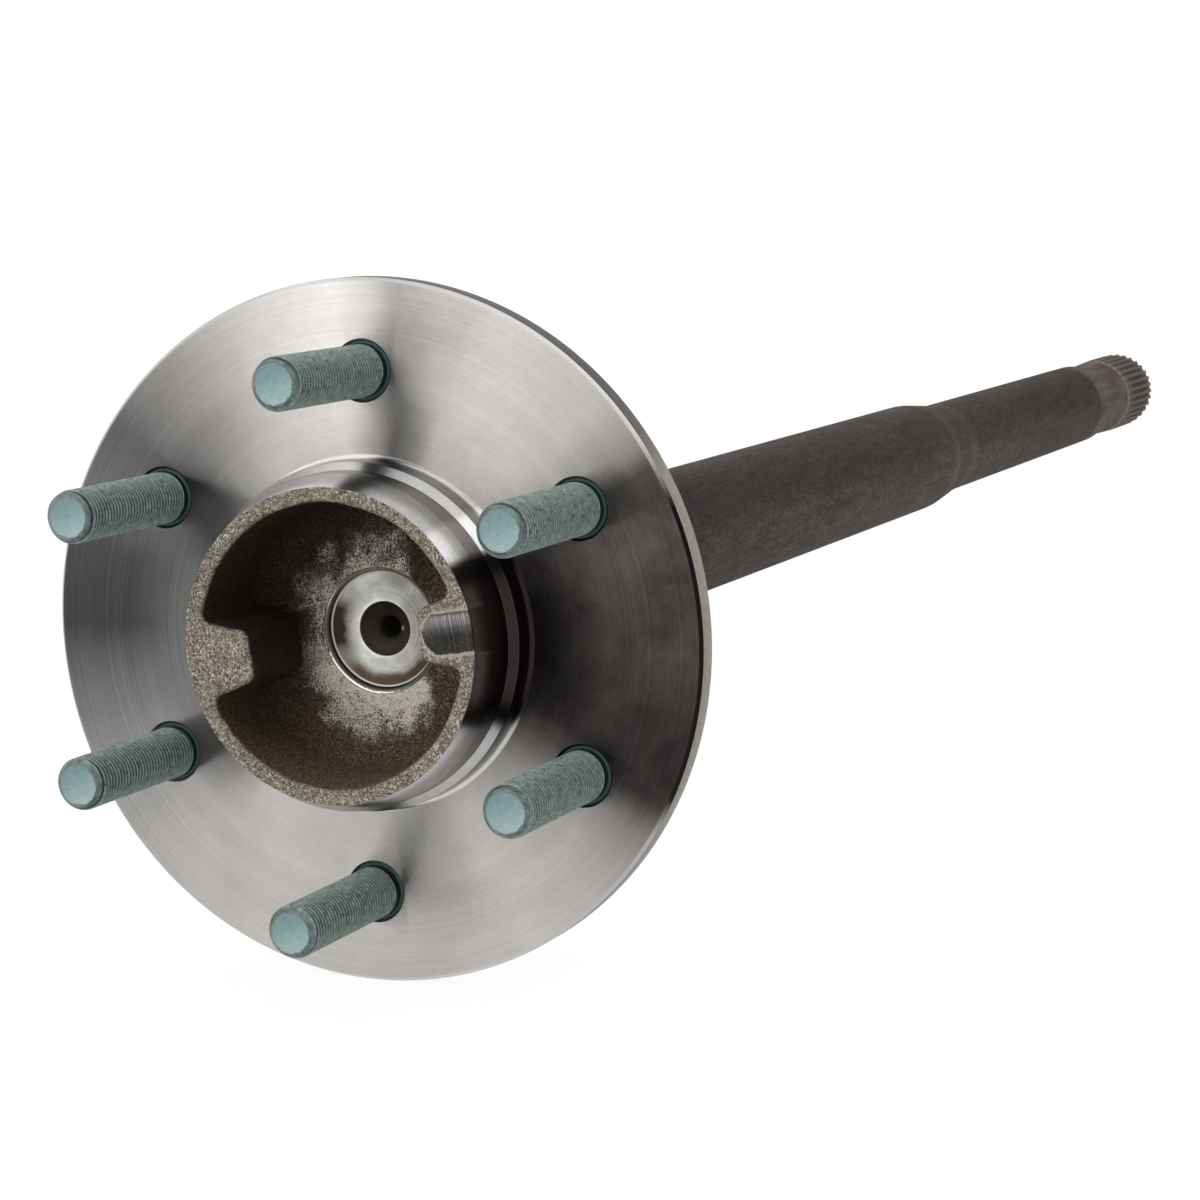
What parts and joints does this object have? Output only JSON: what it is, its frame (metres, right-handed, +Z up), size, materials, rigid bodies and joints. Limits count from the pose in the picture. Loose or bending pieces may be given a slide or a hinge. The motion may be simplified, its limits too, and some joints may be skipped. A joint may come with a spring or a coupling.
{
  "type": "axle shaft",
  "caption": "Rear axle shaft with a round wheel flange, pressed-in wheel studs, a hollow centring hub and a stepped bare shaft that ends in a spline.",
  "frame": {"origin": "middle of the flange's wheel face, on the shaft's axis", "axes": "+Y along the shaft towards its splined end, the hub faces -Y, +Z up through one wheel stud"},
  "size_m": [0.1885, 0.9121, 0.1886],
  "materials": {
    "forged_steel": "turned flange and hub, shot-blasted cup, dark forged shaft",
    "plated_stud": "pale blue-green plated"
  },
  "bodies": {
    "root": {"axle_shaft": "forged_steel", "wheel_stud_1": "plated_stud", "wheel_stud_2": "plated_stud", "wheel_stud_3": "plated_stud", "wheel_stud_4": "plated_stud", "wheel_stud_5": "plated_stud", "wheel_stud_6": "plated_stud"}
  },
  "joints": []
}
